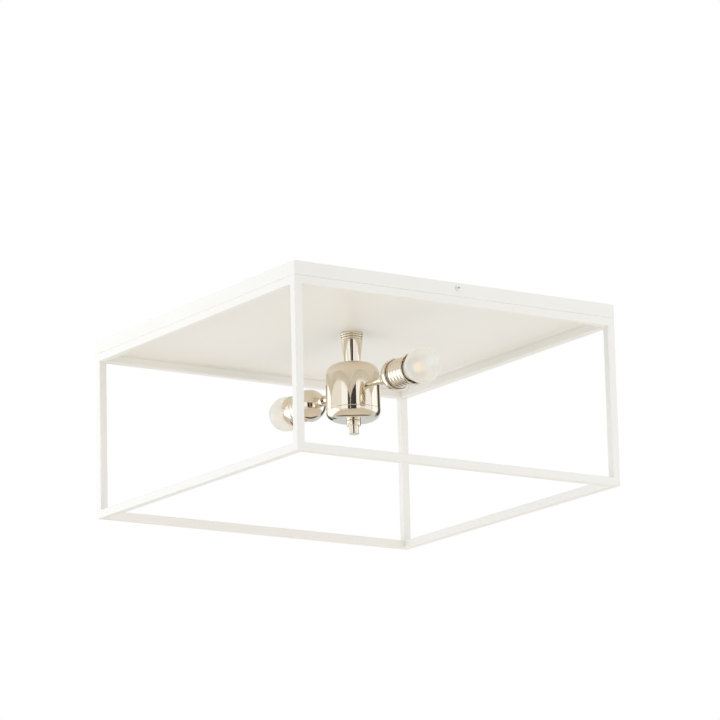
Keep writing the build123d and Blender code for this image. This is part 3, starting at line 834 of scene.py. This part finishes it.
# Pale floor under the object and the camera, paler and cooler far away from its middle
def studioFloor():
    ahead = direction(cameraLook["azimuth"], 0)
    aside = direction(cameraLook["azimuth"] + 90, 0)
    drop = Vector((0, 0, -floorLook["drop"]))
    material, tree, shader, place = startMaterial("floor")
    distance = tree.nodes.new("ShaderNodeVectorMath")
    distance.operation = "DISTANCE"
    distance.inputs[1].default_value = ahead * floorLook["middleAhead"] + drop
    tree.links.new(place.outputs["Object"], distance.inputs[0])
    spread = tree.nodes.new("ShaderNodeMapRange")
    spread.interpolation_type = "SMOOTHSTEP"
    spread.inputs["From Min"].default_value = floorLook["fade"][0]
    spread.inputs["From Max"].default_value = floorLook["fade"][1]
    tree.links.new(distance.outputs["Value"], spread.inputs["Value"])
    ramp = tree.nodes.new("ShaderNodeValToRGB")
    ramp.color_ramp.elements[0].color = (*floorLook["near"], 1)
    ramp.color_ramp.elements[1].color = (*floorLook["far"], 1)
    tree.links.new(spread.outputs["Result"], ramp.inputs["Fac"])
    tree.links.new(ramp.outputs["Color"], shader.inputs["Base Color"])
    mattSurface(shader, floorLook["roughness"])
    near = drop + ahead * floorLook["ahead"]
    far = drop - ahead * floorLook["behind"]
    half = aside * floorLook["halfWidth"]
    floor = flatPiece("floor", [near - half, near + half, far + half, far - half], material)
    floor.visible_camera = False


lampStand = {"centre": (0.0, 0.0, -0.1), "distance": 3.2}

# Soft lamps: azimuth, elevation, width and height, radiance and colour. Streak lamps show in gloss alone
# and fill lamps light everything else. One lamp has a distance of its own, and one casts no shadow
lampLook = {
    "leftPanel": {"azimuth": -71, "elevation": -4, "size": (1.5, 3.2), "radiance": 0.35,
                  "colour": (0.5, 0.7, 1.0), "streak": True},
    "rightStrip": {"azimuth": -12, "elevation": 4, "size": (0.8, 3.0), "radiance": 0.3,
                   "colour": (0.5, 0.7, 1.0), "streak": True},
    "rightPanel": {"azimuth": 40, "elevation": 0, "size": (2.8, 3.0), "radiance": 0.22,
                   "colour": (0.45, 0.7, 1.0), "streak": True},
    "farRightStrip": {"azimuth": 70, "elevation": 4, "size": (1.6, 3.0), "radiance": 0.45,
                      "colour": (0.6, 0.8, 1.0), "streak": True},
    "farLeftStrip": {"azimuth": -155, "elevation": -4, "size": (1.36, 3.0), "radiance": 0.55,
                     "colour": (0.7, 0.85, 1.0), "streak": True},
    "lowLeftStrip": {"azimuth": -137, "elevation": -20, "size": (5.0, 1.7), "radiance": 0.85,
                     "colour": (0.7, 0.85, 1.0), "streak": True},
    "coneStrip": {"azimuth": -128, "elevation": -1, "size": (2.0, 0.8), "radiance": 0.7,
                  "colour": (0.75, 0.87, 1.0), "streak": True},
    "leftFill": {"azimuth": -96, "elevation": -8, "size": (2.2, 2.4), "radiance": 1.95,
                 "colour": (0.88, 0.93, 1.0), "streak": False},
    "leftHighFill": {"azimuth": -96, "elevation": 40, "size": (0.5, 0.5), "radiance": 0.65,
                     "colour": (1.0, 0.995, 0.99), "streak": False, "distance": 0.9},
    "rightFill": {"azimuth": 8, "elevation": -6, "size": (1.6, 2.0), "radiance": 2.4,
                  "colour": (0.985, 0.99, 1.0), "streak": False},
    "backFill": {"azimuth": 147, "elevation": -8, "size": (2.2, 2.0), "radiance": 1.0,
                 "colour": (1.0, 0.99, 0.96), "streak": False},
    "lowFill": {"azimuth": 0, "elevation": -90, "size": (2.4, 2.4), "radiance": 0.93,
                "colour": (1.0, 0.94, 0.80), "streak": False, "shadow": False},
}


# Rectangular lamps that face the middle of the object
def softLamps():
    for name, look in lampLook.items():
        data = bpy.data.lights.new(name, "AREA")
        data.shape = "RECTANGLE"
        data.size, data.size_y = look["size"]
        data.energy = look["radiance"] * math.pi * data.size * data.size_y
        data.color = look["colour"]
        data.use_shadow = look.get("shadow", True)
        lamp = bpy.data.objects.new(name, data)
        back = direction(look["azimuth"], look["elevation"])
        distance = look.get("distance", lampStand["distance"])
        lamp.location = Vector(lampStand["centre"]) + back * distance
        lamp.rotation_euler = back.to_track_quat("Z", "Y").to_euler()
        lamp.visible_camera = False
        lamp.visible_glossy = look["streak"]
        lamp.visible_diffuse = not look["streak"]
        bpy.context.scene.collection.objects.link(lamp)


# Dark cards beside the camera, at both sides and below: azimuth and elevation from and to, grey and whether
# the card also shades the paint
cardLook = {
    "darkCard_camera": {"azimuth": (-56, -21), "elevation": (-28, 20), "grey": 0.06, "shade": True},
    "darkCard_right": {"azimuth": (90, 116), "elevation": (-30, 30), "grey": 0.1, "shade": False},
    "darkCard_left": {"azimuth": (158, 178), "elevation": (-34, 30), "grey": 0.12, "shade": False},
    "darkCard_low": {"azimuth": (96, 196), "elevation": (-66, -44), "grey": 0.12, "shade": False},
}
cardBoard = {"distance": 2.6, "tint": (1.0, 0.97, 0.9), "patchScale": 2.0, "patchGain": 1.2,
             "roughness": 1.0}


# Cards on a ball about the object, which the camera does not see
def darkCards():
    for name, look in cardLook.items():
        material, tree, shader, place = startMaterial(name)
        patch = noiseNode(tree, place, cardBoard["patchScale"])
        grey = np.array(cardBoard["tint"]) * look["grey"]
        colour = colourNode(tree, patch, grey, grey * cardBoard["patchGain"])
        tree.links.new(colour, shader.inputs["Base Color"])
        mattSurface(shader, cardBoard["roughness"])
        (left, right), (low, high) = look["azimuth"], look["elevation"]
        turns = ((left, low), (right, low), (right, high), (left, high))
        corners = [direction(*turn) * cardBoard["distance"] for turn in turns]
        card = flatPiece(name, corners, material)
        card.visible_diffuse = look["shade"]
        card.visible_camera = False
        card.visible_transmission = False
        card.visible_volume_scatter = False
        card.visible_shadow = False


photoCamera()
studioWorld()
studioFloor()
softLamps()
darkCards()
bpy.context.scene.view_settings.view_transform = "Standard"
print("stage lit")
